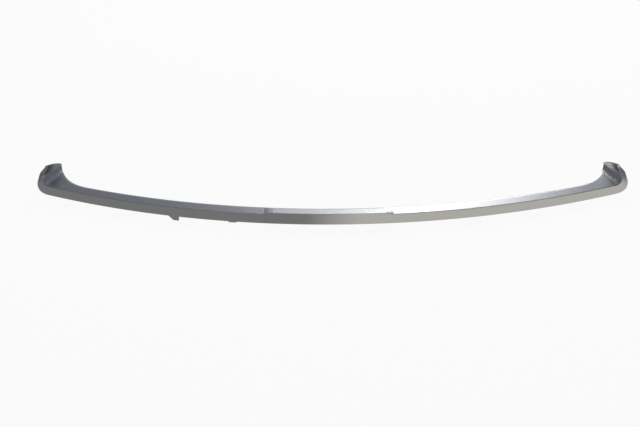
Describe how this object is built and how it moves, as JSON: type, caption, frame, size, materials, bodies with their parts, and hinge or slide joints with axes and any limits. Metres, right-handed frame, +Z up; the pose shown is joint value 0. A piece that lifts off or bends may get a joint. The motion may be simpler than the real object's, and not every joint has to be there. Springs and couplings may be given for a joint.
{
  "type": "bumper grille trim",
  "caption": "One-piece moulded trim strip for the lower edge of a bumper grille, a long bow with a raised middle pad and upturned scoop ends.",
  "frame": {"origin": "on the ground below the trim, midway across it and midway from its front to its back", "axes": "+X across the car to the viewer's right, +Y towards the back of the car, +Z up; the front lip faces -Y"},
  "size_m": [1.1992, 0.1972, 0.0677],
  "materials": {
    "silver_paint": "satin silver paint over injection-moulded ABS"
  },
  "bodies": {
    "root": {"grille_trim": "silver_paint"}
  },
  "joints": []
}
